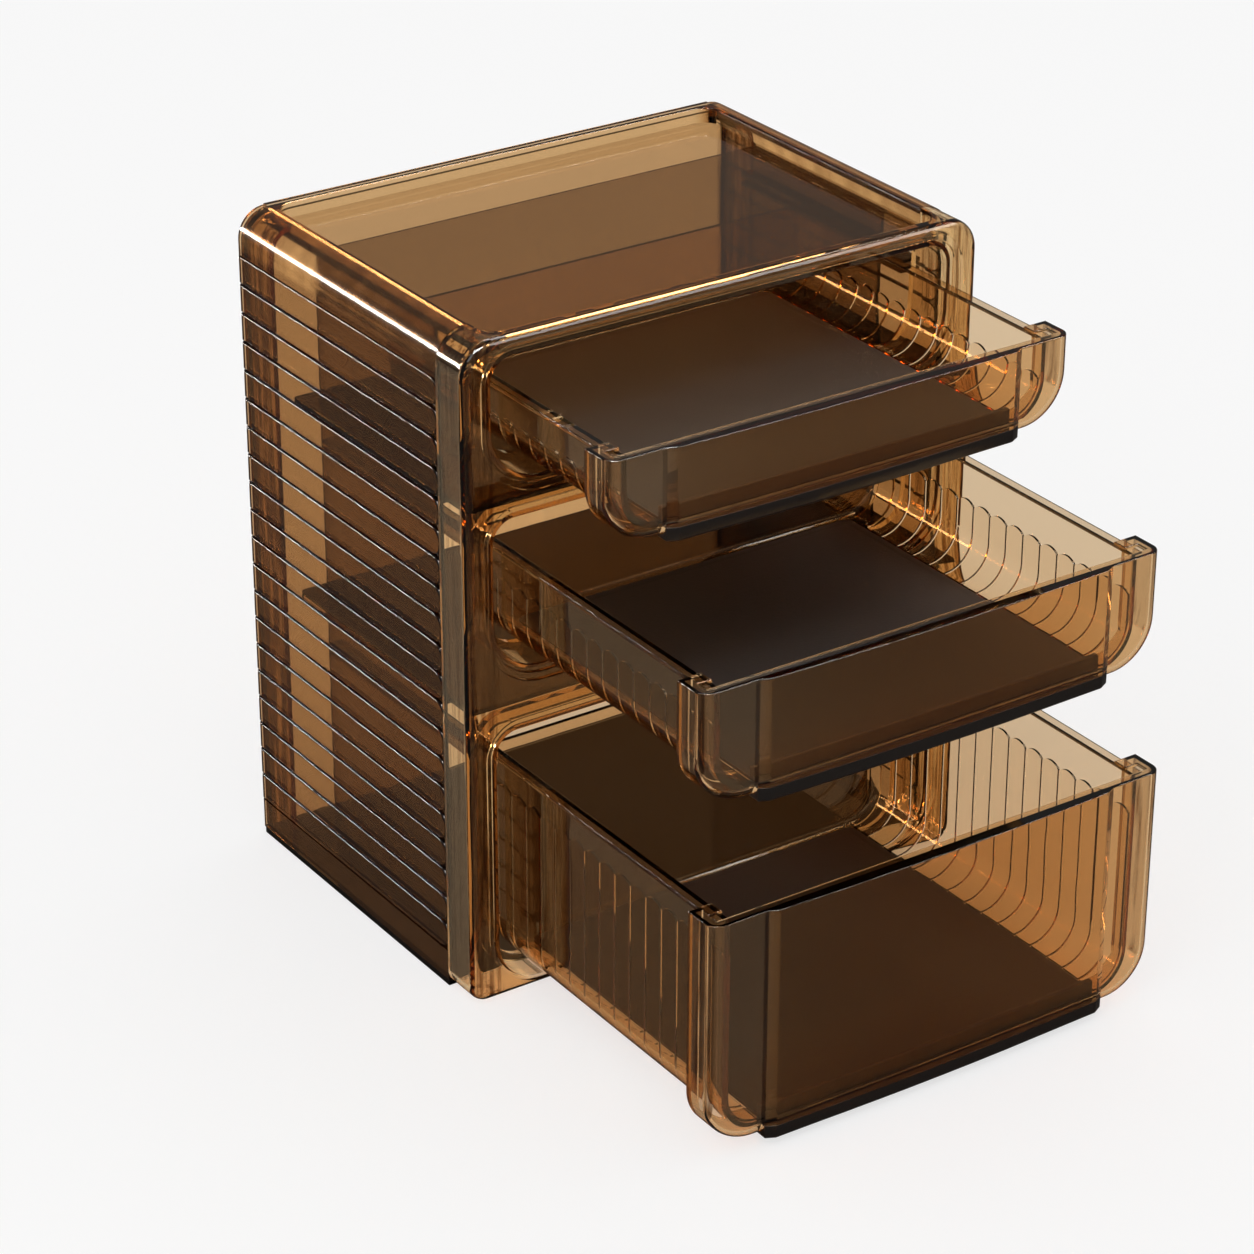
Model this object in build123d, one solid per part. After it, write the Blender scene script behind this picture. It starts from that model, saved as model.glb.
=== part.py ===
from build123d import *
import os

# A desktop cosmetics organizer: a fluted see-through case with three hanging drawers.
# Millimetres, +Z up. The drawer fronts face -Y and +X is to the right seen from the front.
# The origin is the middle of the case's underside. Each drawer is built closed, then drawn out.

# Case
CASE_WIDTH = 298.0
CASE_DEPTH = 210.0
CASE_HEIGHT = 350.0
BASE_THICKNESS = 3.0
SHELF_THICKNESS = 2.6
BACK_THICKNESS = 2.5
BACK_INSET = 1.1
BACK_RETURN = 28.0
BACK_CORNER_RADIUS = 5.0
BASE_CORNER_RADIUS = 3.0
SHELF_LEDGE = 2.4
SHELF_LEDGE_HEIGHT = 2.0

# Side panels and their horizontal flutes
PANEL_WALL = 2.4
PANEL_INSET = 0.4
PANEL_REAR_ROUNDING = 1.6
FLUTE_COUNT = 20
FLUTE_HEIGHT = 1.6
FLUTE_GROOVE = 0.5
FLUTE_ROUNDING = 1.3
FLUTES_ABOVE_FOOT = 19.5
FLUTES_BELOW_TOP = 23.5
SHOULDER_RADIUS = 15.4

# Top panel and its stacking recess
RECESS_DEPTH = 8.0
RECESS_FLOOR = 3.0
RECESS_RIM = 2.5
RECESS_CORNER_RADIUS = 10.0
RECESS_FRONT_BAR = 8.0
RECESS_ROUNDING = 1.0

# Front frame
FRAME_DEPTH = 24.0
FRAME_TOP_RADIUS = 17.0
FRAME_BOTTOM_RADIUS = 9.0
FRAME_EDGE_RADIUS = 5.0
FRAME_FLANGE = 3.5
FRAME_WALL = 2.4
FRAME_SILL = 6.5
FRAME_TOP_BAR = 16.0
UPPER_BAR = 28.5
LOWER_BAR = 41.0
STEP_WIDTH = 3.5
STEP_DEPTH = 1.5
STEP_ROUNDING = 0.6
OPENING_TO_REBATE = 5.0
OPENING_TOP_RADIUS = 7.0

# Drawer fronts. The inset is from the case's side to the front's.
FRONT_INSET = 17.5
FRONT_WALL = 2.6
FRONT_DEPTH = 20.0
FRONT_LOW_RADIUS = 26.0
FRONT_PLAN_RADIUS = 7.0
FRONT_TOP_ROUNDING = 0.6
LIP_WIDTH = 3.0
LIP_HEIGHT = 1.5
BOW_INSET = 30.5
BOW_RAMP = 5.0
BOW_STEP = 2.6
BOW_CROWN = 1.8
BOW_CORNER_ROUNDING = 2.0
BRIDGE_WALL = 2.2
BRIDGE_DEPTH = 8.0

# Finger grips under the fronts
GRIP_HEIGHT = 7.0
GRIP_DEPTH = 7.0
GRIP_DROP = 2.0
GRIP_ROUNDING = 1.2

# Drawer trays
TRAY_WALL = 2.2
TRAY_FLOOR = 2.4
TRAY_LOW_RADIUS = 20.0
TRAY_REAR_RADIUS = 6.0
RIM_INSET = 7.0
RIM_FLANGE = 4.0
RIM_THICKNESS = 2.0
RIM_ROUNDING = 0.5
RIM_BELOW_FRONT = 1.6
STOP_EAR_LENGTH = 4.0
STOP_EAR_WIDTH = 3.2
RIB_THICKNESS = 1.2
RIB_PITCH = 12.8
RIB_GAP = 1.0
RIB_ARCH = 2.4
RIB_BELOW_RIM = 18.5

# Liners on the tray floors
LINER_THICKNESS = 1.5
LINER_KERB_HEIGHT = 7.5
LINER_KERB_THICKNESS = 3.0
LINER_MARGIN = 1.5

# Guides beside the drawers: upright plates, each with a channel for the rim, under one roof
GUIDE_WALL = 2.0
GUIDE_FROM_REAR = 49.0
GUIDE_PLATE_SETBACK = 28.0
GUIDE_GAP = 0.6
RAIL_THICKNESS = 2.0
RAIL_GAP = 0.5
ROOF_THICKNESS = 2.0

# Clearances
FRONT_GAP = 0.8
GRIP_GAP = 1.0
OPENING_SIDE_GAP = 1.7
OPENING_LOW_GAP = 1.6
TRAY_BACK_GAP = 0.4
RAIL_TIP_GAP = 0.6
LINER_GAP = 0.2
SEAT_GAP = 0.1
STOP_GAP = 0.5

# Openings in the frame. The bottom one takes the height that the others leave.
TOP_OPENING = 53.5
MIDDLE_OPENING = 71.0

# Room above each tray's rim, up to the top of its opening
TOP_HEADROOM = 11.6
MIDDLE_HEADROOM = 13.6
BOTTOM_HEADROOM = 14.6

# How far out each drawer stands, as a share of its travel
TOP_OUT_SHARE = 0.524
MIDDLE_OUT_SHARE = 0.9352
BOTTOM_OUT_SHARE = 0.9915

# Values worked out from the sizes above
HALF_WIDTH = CASE_WIDTH / 2
FRONT_Y = -CASE_DEPTH / 2
REAR_Y = CASE_DEPTH / 2
FRAME_REAR_Y = FRONT_Y + FRAME_DEPTH
CREST_X = HALF_WIDTH - PANEL_INSET
VALLEY_X = CREST_X - FLUTE_HEIGHT
INNER_X = VALLEY_X - PANEL_WALL
SHOULDER_WALL = CREST_X - INNER_X
SHOULDER_X = CREST_X - SHOULDER_RADIUS
BACK_REAR_Y = REAR_Y - BACK_INSET
BACK_FRONT_Y = BACK_REAR_Y - BACK_THICKNESS
FRAME_FACE_Y = FRONT_Y + 2 * STEP_DEPTH + FRAME_WALL
RECESS_Z = CASE_HEIGHT - RECESS_DEPTH
RECESS_HALF_WIDTH = SHOULDER_X - RECESS_RIM
RECESS_REAR_Y = BACK_FRONT_Y - RECESS_RIM
RECESS_FRONT_Y = FRONT_Y + RECESS_FRONT_BAR
FRONT_HALF = HALF_WIDTH - FRONT_INSET
BOW_HALF_WIDTH = FRONT_HALF - BOW_INSET
RIM_HALF = FRONT_HALF - RIM_INSET
TRAY_HALF = RIM_HALF - RIM_FLANGE
TRAY_FRONT_Y = FRONT_Y + GRIP_DEPTH + SEAT_GAP
TRAY_REAR_Y = BACK_FRONT_Y - TRAY_BACK_GAP
RAIL_TIP_X = TRAY_HALF + RAIL_TIP_GAP
GUIDE_X = RIM_HALF + STOP_EAR_WIDTH + GUIDE_GAP
GUIDE_FRONT_Y = FRAME_REAR_Y + SEAT_GAP
GUIDE_REAR_Y = REAR_Y - GUIDE_FROM_REAR
ROOF_HIGH = RECESS_Z - RECESS_FLOOR - SEAT_GAP
FLUTES_LOW = FLUTES_ABOVE_FOOT
FLUTES_HIGH = CASE_HEIGHT - FLUTES_BELOW_TOP
TRAVEL = TRAY_REAR_Y - STOP_EAR_LENGTH - FRAME_REAR_Y - STOP_GAP
TOP_HIGH = CASE_HEIGHT - FRAME_TOP_BAR
TOP_LOW = TOP_HIGH - TOP_OPENING
MIDDLE_HIGH = TOP_LOW - UPPER_BAR
MIDDLE_LOW = MIDDLE_HIGH - MIDDLE_OPENING
BOTTOM_HIGH = MIDDLE_LOW - LOWER_BAR
BOTTOM_LOW = FRAME_SILL
PAST = 1.0
NEAR = 0.001


class Drawer:
    """One drawer's place: its opening's lower and upper edge, its rim and its pull."""

    def __init__(self, low, high, headroom, out_share):
        self.opening_low = low
        self.opening_high = high
        self.rim = high - headroom
        self.tray_low = low + OPENING_LOW_GAP
        self.low = self.tray_low - FRONT_WALL
        self.high = self.rim + RIM_BELOW_FRONT
        self.out = out_share * TRAVEL


DRAWERS = {
    "top": Drawer(TOP_LOW, TOP_HIGH, TOP_HEADROOM, TOP_OUT_SHARE),
    "middle": Drawer(MIDDLE_LOW, MIDDLE_HIGH, MIDDLE_HEADROOM, MIDDLE_OUT_SHARE),
    "bottom": Drawer(BOTTOM_LOW, BOTTOM_HIGH, BOTTOM_HEADROOM, BOTTOM_OUT_SHARE),
}


def block(x0, x1, y0, y1, z0, z1):
    """A box from its lowest to its highest corner."""
    centre = Pos((x0 + x1) / 2, (y0 + y1) / 2, (z0 + z1) / 2)
    return centre * Box(x1 - x0, y1 - y0, z1 - z0)


def outline(half_width, low, high, low_radius, high_radius=0.0):
    """An upright rectangle seen from the front, with its own lower and upper corner radii."""
    shape = Pos(0, (low + high) / 2) * Rectangle(2 * half_width, high - low)
    shape = fillet(shape.vertices().group_by(Axis.Y)[0], low_radius)
    if high_radius > 0:
        shape = fillet(shape.vertices().group_by(Axis.Y)[-1], high_radius)
    return shape


def along_y(shape, y0, y1):
    """A front view outline carried from y0 back to y1."""
    plane = Plane(origin=(0, y1, 0), x_dir=(1, 0, 0), z_dir=(0, -1, 0))
    return extrude(plane * shape, y1 - y0)


def along_z(shape, z0, z1):
    """A plan outline carried from z0 up to z1."""
    return extrude(Pos(0, 0, z0) * shape, z1 - z0)


def both_sides(solid):
    """A solid on the right with its mirror image on the left."""
    return solid + mirror(solid, Plane.YZ)


def shelf_top(upper, lower):
    """A shelf lies halfway between two openings."""
    return (upper.opening_low + lower.opening_high + SHELF_THICKNESS) / 2


def recess(wall=0.0):
    """The stacking recess in the top panel and the frame's top bar, or that space with its walls."""
    length = RECESS_REAR_Y - RECESS_FRONT_Y + 2 * wall
    shape = RectangleRounded(2 * (RECESS_HALF_WIDTH + wall), length, RECESS_CORNER_RADIUS + wall)
    shape = Pos(0, (RECESS_REAR_Y + RECESS_FRONT_Y) / 2) * shape
    return along_z(shape, RECESS_Z - wall, CASE_HEIGHT + PAST)


def seat(drawer, grow):
    """The outline of the front's seat in the frame. Grown outlines make the steps around it."""
    sill = drawer.low - GRIP_DROP - GRIP_GAP
    low = sill if sill < 2 * STEP_WIDTH + PAST else sill - grow
    return outline(
        FRONT_HALF + FRONT_GAP + grow,
        low,
        drawer.opening_high + OPENING_TO_REBATE + grow,
        FRONT_LOW_RADIUS + FRONT_GAP + grow,
        OPENING_TOP_RADIUS + OPENING_TO_REBATE + grow,
    )


def rebate(drawer, grow, depth):
    """The room for a seat's outline, from in front of the frame to a depth."""
    return along_y(seat(drawer, grow), FRONT_Y - PAST, FRONT_Y + depth)


def step_edges(frame, depth):
    """The sharp edges of the closed holes in the frame's flat faces at a depth."""
    faces = frame.faces().filter_by(Axis.Y)
    level = faces.filter_by(lambda face: abs(face.center().Y - FRONT_Y - depth) < NEAR)
    return ShapeList(edge for face in level for wire in face.inner_wires() for edge in wire.edges())


def frame_hollow():
    """The space behind the frame's face, inside its skin and outside the walls of the seats."""
    skin = outline(
        HALF_WIDTH - FRAME_WALL,
        FRAME_WALL,
        CASE_HEIGHT - FRAME_WALL,
        FRAME_BOTTOM_RADIUS - FRAME_WALL,
        FRAME_TOP_RADIUS - FRAME_WALL,
    )
    space = along_y(skin, FRAME_FACE_Y, FRAME_REAR_Y + PAST)
    for drawer in DRAWERS.values():
        space -= rebate(drawer, FRAME_WALL, FRAME_DEPTH + 2 * PAST)
    return space - recess(FRAME_WALL)


def front_frame():
    """The deep bezel that the drawers pass through: a hollow shell with stepped edges round each front."""
    shape = outline(HALF_WIDTH, 0, CASE_HEIGHT, FRAME_BOTTOM_RADIUS, FRAME_TOP_RADIUS)
    frame = along_y(shape, FRONT_Y, FRAME_REAR_Y)
    frame = fillet(frame.faces().sort_by(Axis.Y)[0].edges(), FRAME_EDGE_RADIUS)
    frame -= frame_hollow()
    for drawer in DRAWERS.values():
        way = outline(
            RIM_HALF + OPENING_SIDE_GAP,
            drawer.opening_low,
            drawer.opening_high,
            TRAY_LOW_RADIUS,
            OPENING_TOP_RADIUS,
        )
        frame -= along_y(way, FRONT_Y - PAST, FRAME_REAR_Y + PAST)
        frame -= rebate(drawer, 0, FRAME_DEPTH - FRAME_FLANGE)
        frame -= rebate(drawer, STEP_WIDTH, 2 * STEP_DEPTH)
        frame -= rebate(drawer, 2 * STEP_WIDTH, STEP_DEPTH)
    for depth in (0, STEP_DEPTH, 2 * STEP_DEPTH):
        frame = fillet(step_edges(frame, depth), STEP_ROUNDING)
    return frame - recess()


def side_profile():
    """The right side panel's section without flutes, from its foot to the round shoulder."""
    shoulder_z = CASE_HEIGHT - SHOULDER_RADIUS
    inner_radius = SHOULDER_RADIUS - SHOULDER_WALL
    outer = Pos(SHOULDER_X, shoulder_z) * Circle(SHOULDER_RADIUS)
    inner = Pos(SHOULDER_X, shoulder_z) * Circle(inner_radius)
    corner_centre = Pos(SHOULDER_X + SHOULDER_RADIUS / 2, shoulder_z + SHOULDER_RADIUS / 2)
    shoulder = (outer - inner) & (corner_centre * Rectangle(SHOULDER_RADIUS, SHOULDER_RADIUS))
    foot_z = BASE_THICKNESS + SEAT_GAP
    centre = Pos((INNER_X + CREST_X) / 2, (foot_z + shoulder_z) / 2)
    wall = centre * Rectangle(SHOULDER_WALL, shoulder_z - foot_z)
    return wall + shoulder


def flute(z, pitch):
    """One flat bar with a round front end and soft edges, standing out from the valley face."""
    half = (pitch - FLUTE_GROOVE) / 2
    front = FRAME_REAR_Y + SEAT_GAP
    root = VALLEY_X - PANEL_WALL / 2
    low = z - half
    high = z + half
    sides = Polyline((front + half, low), (REAR_Y, low), (REAR_Y, high), (front + half, high))
    end = ThreePointArc((front + half, high), (front, z), (front + half, low))
    bar = Pos(root, 0, 0) * extrude(Plane.YZ * make_face(sides + end), CREST_X - root)
    face = bar.faces().sort_by(Axis.X)[-1].edges()
    return fillet(face, FLUTE_ROUNDING)


def right_side_panel():
    """The fluted side with its round shoulder and a ledge under each shelf."""
    panel = along_y(side_profile(), FRAME_REAR_Y + SEAT_GAP, REAR_Y)
    panel = fillet(
        panel.edges().filter_by(Axis.Z).group_by(Axis.Y)[-1].sort_by(Axis.X)[-1:],
        PANEL_REAR_ROUNDING,
    )
    pitch = (FLUTES_HIGH - FLUTES_LOW) / FLUTE_COUNT
    panel -= block(
        VALLEY_X, CREST_X + PAST, FRAME_REAR_Y - PAST, REAR_Y + PAST, FLUTES_LOW, FLUTES_HIGH
    )
    for index in range(FLUTE_COUNT):
        panel += flute(FLUTES_LOW + (index + 0.5) * pitch, pitch)
    drawers = list(DRAWERS.values())
    for upper, lower in zip(drawers, drawers[1:]):
        high = shelf_top(upper, lower) - SHELF_THICKNESS - SEAT_GAP
        low = high - SHELF_LEDGE_HEIGHT
        panel += block(INNER_X - SHELF_LEDGE, INNER_X, GUIDE_FRONT_Y, GUIDE_REAR_Y, low, high)
    return panel


def top_panel():
    """The recessed lid plate with the raised rim that the next organizer nests in."""
    flange_z = CASE_HEIGHT - SHOULDER_WALL
    plate_z = RECESS_Z - RECESS_FLOOR
    half = SHOULDER_X - SEAT_GAP
    front = FRAME_REAR_Y + SEAT_GAP
    panel = block(-half, half, front, REAR_Y, flange_z, CASE_HEIGHT)
    panel += block(-half, half, front, BACK_FRONT_Y - SEAT_GAP, plate_z, flange_z)
    panel -= recess()
    rim = panel.faces().sort_by(Axis.Z)[-1].edges()
    inside = rim.filter_by(lambda e: recess().distance_to(e @ 0.5) < NEAR)
    return fillet(inside, RECESS_ROUNDING)


def back_panel():
    """The back, which fits inside the side panels and returns forwards along them."""
    half = INNER_X - SEAT_GAP
    low = BASE_THICKNESS + SEAT_GAP
    high = CASE_HEIGHT - SHOULDER_WALL - SEAT_GAP
    top_radius = SHOULDER_RADIUS - SHOULDER_WALL
    front = BACK_REAR_Y - BACK_RETURN
    panel = along_y(outline(half, low, high, SHELF_LEDGE_HEIGHT, top_radius), front, BACK_REAR_Y)
    wall = BACK_THICKNESS
    inside_low = low - 2 * BACK_CORNER_RADIUS
    shape = outline(half - wall, inside_low, high - wall, SHELF_LEDGE_HEIGHT, top_radius - wall)
    inside = along_y(shape, front - PAST, BACK_FRONT_Y)
    panel -= fillet(inside.faces().sort_by(Axis.Y)[-1].edges(), BACK_CORNER_RADIUS)
    top_room = SHOULDER_X + SEAT_GAP
    return panel - block(
        -top_room, top_room, front - PAST, BACK_FRONT_Y, ROOF_HIGH - PAST, CASE_HEIGHT
    )


def base_panel():
    """The flat plate that the case stands on, rounded at its rear corners."""
    panel = block(-CREST_X, CREST_X, FRAME_REAR_Y + SEAT_GAP, REAR_Y, 0, BASE_THICKNESS)
    return fillet(panel.edges().filter_by(Axis.Z).group_by(Axis.Y)[-1], BASE_CORNER_RADIUS)


def shelf(upper, lower):
    """A plain divider between two drawers, which reaches into the frame's hollow bar."""
    high = shelf_top(upper, lower)
    half = INNER_X - SEAT_GAP
    front = FRAME_FACE_Y + SEAT_GAP
    return block(-half, half, front, GUIDE_REAR_Y, high - SHELF_THICKNESS, high)


def roof():
    """The plate over the top drawer, across the guides."""
    half = GUIDE_X + GUIDE_WALL
    return block(-half, half, GUIDE_FRONT_Y, GUIDE_REAR_Y, ROOF_HIGH - ROOF_THICKNESS, ROOF_HIGH)


def right_guide(drawer, floor, ceiling):
    """An upright plate from floor to ceiling, and a channel for the tray's rim from the frame on."""
    rib_low = drawer.rim - RIM_THICKNESS - RAIL_GAP - RAIL_THICKNESS
    rib_high = drawer.rim + RAIL_GAP
    outside = GUIDE_X + GUIDE_WALL
    front = GUIDE_FRONT_Y + GUIDE_PLATE_SETBACK
    plate = block(GUIDE_X, outside, front, GUIDE_REAR_Y, floor + SEAT_GAP, ceiling - SEAT_GAP)
    for low in (rib_low, rib_high):
        high = low + RAIL_THICKNESS
        plate += block(RAIL_TIP_X, outside, GUIDE_FRONT_Y, GUIDE_REAR_Y, low, high)
    return plate


def wall_ribs(low, top):
    """Flat upright ribs with arched heads that line the tray's side walls and lower corners."""
    inner_half = TRAY_HALF - TRAY_WALL
    inner_low = low + TRAY_FLOOR
    radius = TRAY_LOW_RADIUS - TRAY_WALL
    thin = RIB_THICKNESS
    lining = outline(inner_half, inner_low, top, radius)
    lining -= outline(inner_half - thin, inner_low + thin, top + PAST, radius - thin)
    flat_half = TRAY_HALF - TRAY_LOW_RADIUS
    shoulder = top - RIB_BELOW_RIM - RIB_ARCH
    length = TRAY_REAR_Y - TRAY_REAR_RADIUS - TRAY_FRONT_Y
    count = int(length / RIB_PITCH)
    ribs = None
    for index in range(count):
        y0 = TRAY_FRONT_Y + RIB_GAP + index * RIB_PITCH
        y1 = y0 + RIB_PITCH - RIB_GAP
        sides = Polyline((y0, shoulder), (y0, low), (y1, low), (y1, shoulder))
        head = ThreePointArc((y1, shoulder), ((y0 + y1) / 2, shoulder + RIB_ARCH), (y0, shoulder))
        arch = extrude(Plane.YZ * make_face(sides + head), HALF_WIDTH)
        rib = arch & along_y(lining, y0 - PAST, y1 + PAST)
        rib &= block(flat_half, HALF_WIDTH, y0 - PAST, y1 + PAST, low, top)
        ribs = rib if ribs is None else ribs + rib
    return both_sides(ribs)


def tray(drawer):
    """An open-fronted box with round lower corners, hung by its rim, with stops at the back."""
    low = drawer.tray_low
    top = drawer.rim
    body = along_y(outline(TRAY_HALF, low, top, TRAY_LOW_RADIUS), TRAY_FRONT_Y, TRAY_REAR_Y)
    rear = body.faces().sort_by(Axis.Y)[-1].edges()
    body = fillet(rear.sort_by(Axis.Z)[:-1], TRAY_REAR_RADIUS)
    hollow = outline(
        TRAY_HALF - TRAY_WALL, low + TRAY_FLOOR, top + PAST, TRAY_LOW_RADIUS - TRAY_WALL
    )
    inside = along_y(hollow, TRAY_FRONT_Y - PAST, TRAY_REAR_Y - TRAY_WALL)
    rear = inside.faces().sort_by(Axis.Y)[-1].edges()
    inside = fillet(rear.sort_by(Axis.Z)[:-1], TRAY_REAR_RADIUS - TRAY_WALL)
    body -= inside
    flange_low = top - RIM_THICKNESS
    ear_front = TRAY_REAR_Y - STOP_EAR_LENGTH
    ear_half = RIM_HALF + STOP_EAR_WIDTH
    flange = block(-RIM_HALF, RIM_HALF, TRAY_FRONT_Y, TRAY_REAR_Y, flange_low, top)
    flange += block(-ear_half, ear_half, ear_front, TRAY_REAR_Y, flange_low, top)
    flange -= inside
    shell = body + flange
    rim = shell.faces().sort_by(Axis.Z)[-1].outer_wire().edges()
    return fillet(rim, RIM_ROUNDING) + wall_ribs(low, top)


def bow(low, high):
    """The middle of a front, which stands proud of its corners and is slightly crowned."""
    step_x = BOW_HALF_WIDTH - BOW_RAMP
    step_y = FRONT_Y - BOW_STEP
    inside_y = FRONT_Y + FRONT_WALL / 2
    crown = ThreePointArc((-step_x, step_y), (0, step_y - BOW_CROWN), (step_x, step_y))
    sides = Polyline(
        (step_x, step_y),
        (BOW_HALF_WIDTH, FRONT_Y),
        (BOW_HALF_WIDTH, inside_y),
        (-BOW_HALF_WIDTH, inside_y),
        (-BOW_HALF_WIDTH, FRONT_Y),
        (-step_x, step_y),
    )
    shape = make_face(crown + sides)
    shape = fillet(shape.vertices().group_by(Axis.Y)[0], BOW_CORNER_ROUNDING)
    return along_z(shape, low, high)


def grip_space(drawer, gap):
    """The notch along a front's lower edge that holds its finger grip."""
    low = drawer.low - GRIP_DROP
    high = low + GRIP_HEIGHT + gap
    half = BOW_HALF_WIDTH + gap
    return block(-half, half, FRONT_Y - PAST, FRONT_Y + GRIP_DEPTH + gap, low, high)


def drawer_front(drawer):
    """The clear front with side returns that wrap around the tray's front end."""
    low = drawer.low
    high = drawer.high
    rear = FRONT_Y + FRONT_DEPTH
    shape = outline(FRONT_HALF, low, high, FRONT_LOW_RADIUS)
    front = along_y(shape, FRONT_Y, rear)
    face = front.faces().sort_by(Axis.Y)[0].edges()
    front = fillet(face.sort_by(Axis.Z)[:-1], FRONT_PLAN_RADIUS)
    whole = front
    wall = FRONT_WALL
    shape = outline(FRONT_HALF - wall, low + wall, high + PAST, FRONT_LOW_RADIUS - wall)
    inside = along_y(shape, FRONT_Y + wall, rear + PAST)
    face = inside.faces().sort_by(Axis.Y)[0].edges()
    inside = fillet(face.sort_by(Axis.Z)[:-1], FRONT_PLAN_RADIUS - wall)
    front -= inside
    front += bow(low - GRIP_DROP + GRIP_HEIGHT + SEAT_GAP, high)
    inner = FRONT_HALF - wall
    lip_low = high - LIP_HEIGHT
    lips = block(-inner, inner, FRONT_Y + wall / 2, FRONT_Y + wall + LIP_WIDTH, lip_low, high)
    lips += both_sides(block(inner - LIP_WIDTH, inner + wall / 2, FRONT_Y + wall, rear, lip_low, high))
    closing = block(RIM_HALF + SEAT_GAP, inner + wall / 2, rear - BRIDGE_WALL, rear, low, high)
    cap = drawer.rim + SEAT_GAP
    closing += block(TRAY_HALF - TRAY_WALL, inner, rear - BRIDGE_DEPTH, rear, cap, high)
    front += (lips + both_sides(closing)) & whole
    front = fillet(front.faces().sort_by(Axis.Z)[-1].outer_wire().edges(), FRONT_TOP_ROUNDING)
    return front - grip_space(drawer, SEAT_GAP)


def grip(drawer):
    """The dark finger bar snapped under a front, following its bow."""
    low = drawer.low - GRIP_DROP
    high = low + GRIP_HEIGHT
    bar = bow(low, high)
    bar += block(-BOW_HALF_WIDTH, BOW_HALF_WIDTH, FRONT_Y, FRONT_Y + GRIP_DEPTH, low, high)
    return fillet(bar.faces().sort_by(Axis.Z)[0].edges(), GRIP_ROUNDING)


def liner(drawer):
    """A thin mat on the tray's floor with a low kerb along the front."""
    floor = drawer.tray_low + TRAY_FLOOR + SEAT_GAP
    half = TRAY_HALF - TRAY_LOW_RADIUS - LINER_MARGIN
    front = TRAY_FRONT_Y + LINER_GAP
    rear = TRAY_REAR_Y - TRAY_REAR_RADIUS - LINER_GAP
    mat = block(-half, half, front, rear, floor, floor + LINER_THICKNESS)
    kerb = floor + LINER_KERB_HEIGHT
    mat += block(-half, half, front, front + LINER_KERB_THICKNESS, floor, kerb)
    return mat


def write(name, solid):
    """Writes one sub-part under its name."""
    export_step(solid, f"parts/{name}.step")


os.makedirs("parts", exist_ok=True)

right_panel = right_side_panel()
write("front_frame", front_frame())
write("right_side_panel", right_panel)
write("left_side_panel", mirror(right_panel, Plane.YZ))
write("top_panel", top_panel())
write("back_panel", back_panel())
write("base_panel", base_panel())
write("upper_shelf", shelf(DRAWERS["top"], DRAWERS["middle"]))
write("lower_shelf", shelf(DRAWERS["middle"], DRAWERS["bottom"]))
write("bay_roof", roof())
shelves = [shelf_top(DRAWERS["top"], DRAWERS["middle"]), shelf_top(DRAWERS["middle"], DRAWERS["bottom"])]
floors = shelves + [BASE_THICKNESS]
ceilings = [ROOF_HIGH - ROOF_THICKNESS] + [high - SHELF_THICKNESS for high in shelves]
for (place, sizes), floor, ceiling in zip(DRAWERS.items(), floors, ceilings):
    guide = right_guide(sizes, floor, ceiling)
    write(f"{place}_right_guide", guide)
    write(f"{place}_left_guide", mirror(guide, Plane.YZ))
    drawn_out = Pos(0, -sizes.out, 0)
    write(f"{place}_tray", drawn_out * tray(sizes))
    write(f"{place}_front", drawn_out * drawer_front(sizes))
    write(f"{place}_grip", drawn_out * grip(sizes))
    write(f"{place}_liner", drawn_out * liner(sizes))
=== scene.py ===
"""A clear amber organizer: a fluted case, a stepped front frame and three sliding drawers."""

import logging
import math
from dataclasses import dataclass, field
from enum import Enum

import bpy
import bmesh
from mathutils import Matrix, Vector

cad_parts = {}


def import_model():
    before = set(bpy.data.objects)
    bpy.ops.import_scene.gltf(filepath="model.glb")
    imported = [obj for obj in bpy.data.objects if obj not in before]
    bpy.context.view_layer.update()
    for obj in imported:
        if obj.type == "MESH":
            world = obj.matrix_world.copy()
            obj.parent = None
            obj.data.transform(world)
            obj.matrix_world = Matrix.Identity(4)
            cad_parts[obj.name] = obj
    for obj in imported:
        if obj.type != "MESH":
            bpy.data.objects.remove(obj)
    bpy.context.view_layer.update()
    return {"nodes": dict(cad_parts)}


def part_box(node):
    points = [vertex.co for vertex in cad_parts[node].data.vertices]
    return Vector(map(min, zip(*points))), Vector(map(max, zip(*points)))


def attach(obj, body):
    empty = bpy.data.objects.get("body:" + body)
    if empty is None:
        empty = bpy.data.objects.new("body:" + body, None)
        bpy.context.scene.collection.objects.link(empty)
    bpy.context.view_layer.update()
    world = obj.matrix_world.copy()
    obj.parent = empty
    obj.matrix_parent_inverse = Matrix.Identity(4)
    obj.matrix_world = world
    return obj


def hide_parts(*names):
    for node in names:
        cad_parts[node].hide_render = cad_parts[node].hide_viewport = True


LOG = logging.getLogger("organizer")

REFRACTIVE_INDEX = 1.49
RIPPLE_HEIGHT = 0.004
RIPPLE_DETAIL = 1.0
GRAIN_HEIGHT = 0.0004
GRAIN_DETAIL = 4.0
SAME_PLACE = 1e-6
SHARP_ANGLE = math.radians(40.0)
FLAT_ANGLE = math.radians(1.0)
CLEAR_BOUNCES = 32
GLOSS_BOUNCES = 12
SHADOW_WALLS = 48
EVEN = (1.0, 1.0, 1.0)
BLACK = (0.0, 0.0, 0.0, 1.0)
WHITE = (1.0, 1.0, 1.0, 1.0)

Colour = tuple[float, float, float, float]
Value = float | tuple[float, ...] | bpy.types.NodeSocket


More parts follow.
